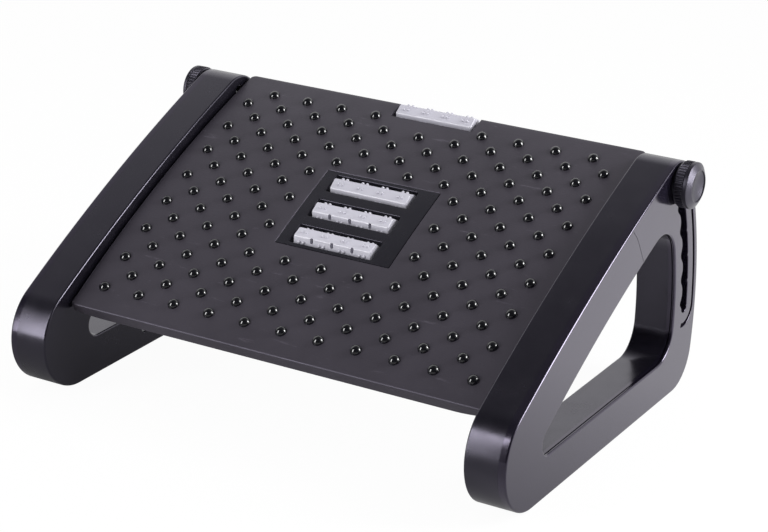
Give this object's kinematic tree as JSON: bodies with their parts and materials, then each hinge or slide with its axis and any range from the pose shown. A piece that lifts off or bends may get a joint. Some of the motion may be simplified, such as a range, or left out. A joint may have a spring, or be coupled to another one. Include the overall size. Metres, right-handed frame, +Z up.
{
  "type": "footrest",
  "caption": "Under-desk footrest: triangular side frames carry a bumpy foot plate that tilts about front pins and is clamped by side knobs, with massage rollers set into it.",
  "frame": {"origin": "on the floor, midway between the side frames and between the frames' front and rear ends", "axes": "+X to the right across the footrest as its user sits, +Y from the low front edge to the raised rear, +Z up"},
  "size_m": [0.5146, 0.3477, 0.2173],
  "materials": {
    "frame_plastic": "satin",
    "cover_plastic": "satin",
    "plate_plastic": "fine grain",
    "panel_plastic": "fine grain",
    "knob_plastic": "satin",
    "roller_plastic": "satin, slightly translucent",
    "pad_rubber": "matt",
    "steel": "zinc plated"
  },
  "bodies": {
    "stand": {"frame_shell_right": "frame_plastic", "frame_cover_right": "cover_plastic", "cover_screw_right_1": "steel", "cover_screw_right_2": "steel", "cover_screw_right_3": "steel", "cover_screw_right_4": "steel", "foot_pad_right_front": "pad_rubber", "foot_pad_right_rear": "pad_rubber", "pivot_pin_right": "steel", "frame_shell_left": "frame_plastic", "frame_cover_left": "cover_plastic", "cover_screw_left_1": "steel", "cover_screw_left_2": "steel", "cover_screw_left_3": "steel", "cover_screw_left_4": "steel", "foot_pad_left_front": "pad_rubber", "foot_pad_left_rear": "pad_rubber", "pivot_pin_left": "steel"},
    "platform": {"platform": "plate_plastic", "roller_panel": "panel_plastic", "captive_nut_right": "steel", "captive_nut_left": "steel", "roller_pin_1": "steel", "roller_pin_2": "steel", "roller_pin_3": "steel", "roller_pin_rear": "steel"},
    "washer_right": {"knob_washer_right": "steel"},
    "knob_right": {"knob_right": "knob_plastic", "knob_stud_right": "steel"},
    "washer_left": {"knob_washer_left": "steel"},
    "knob_left": {"knob_left": "knob_plastic", "knob_stud_left": "steel"},
    "roller_1": {"roller_1": "roller_plastic"},
    "roller_2": {"roller_2": "roller_plastic"},
    "roller_3": {"roller_3": "roller_plastic"},
    "roller_rear": {"roller_rear": "roller_plastic"}
  },
  "joints": [
    {"name": "platform_tilt", "type": "hinge", "parent": "stand", "child": "platform", "pos_m": [0, -0.12745, 0.079], "axis": [1, 0, 0], "range_deg": [-25, 0]},
    {"name": "knob_right_feed", "type": "slide", "parent": "platform", "child": "washer_right", "axis": [1, 0, 0], "range_m": [0, 0.00125]},
    {"name": "knob_right_turn", "type": "hinge", "parent": "washer_right", "child": "knob_right", "pos_m": [0.2497, 0.12298, 0.19738], "axis": [1, 0, 0], "range_deg": [0, 375]},
    {"name": "knob_left_feed", "type": "slide", "parent": "platform", "child": "washer_left", "axis": [-1, 0, 0], "range_m": [0, 0.00125]},
    {"name": "knob_left_turn", "type": "hinge", "parent": "washer_left", "child": "knob_left", "pos_m": [-0.2497, 0.12298, 0.19738], "axis": [-1, 0, 0], "range_deg": [0, 375]},
    {"name": "roller_1_spin", "type": "hinge", "parent": "platform", "child": "roller_1", "pos_m": [-0.004, 0.03182, 0.16438], "axis": [1, 0, 0], "continuous": true},
    {"name": "roller_2_spin", "type": "hinge", "parent": "platform", "child": "roller_2", "pos_m": [-0.004, 0.00253, 0.15099], "axis": [1, 0, 0], "continuous": true},
    {"name": "roller_3_spin", "type": "hinge", "parent": "platform", "child": "roller_3", "pos_m": [-0.004, -0.02641, 0.13688], "axis": [1, 0, 0], "continuous": true},
    {"name": "roller_rear_spin", "type": "hinge", "parent": "platform", "child": "roller_rear", "pos_m": [0, 0.13501, 0.20491], "axis": [1, 0, 0], "continuous": true}
  ],
  "couplings": [
    {"joint": "knob_right_turn", "follows": "knob_right_feed", "rad_per_m": 5026.5},
    {"joint": "knob_left_turn", "follows": "knob_left_feed", "rad_per_m": 5026.5}
  ]
}
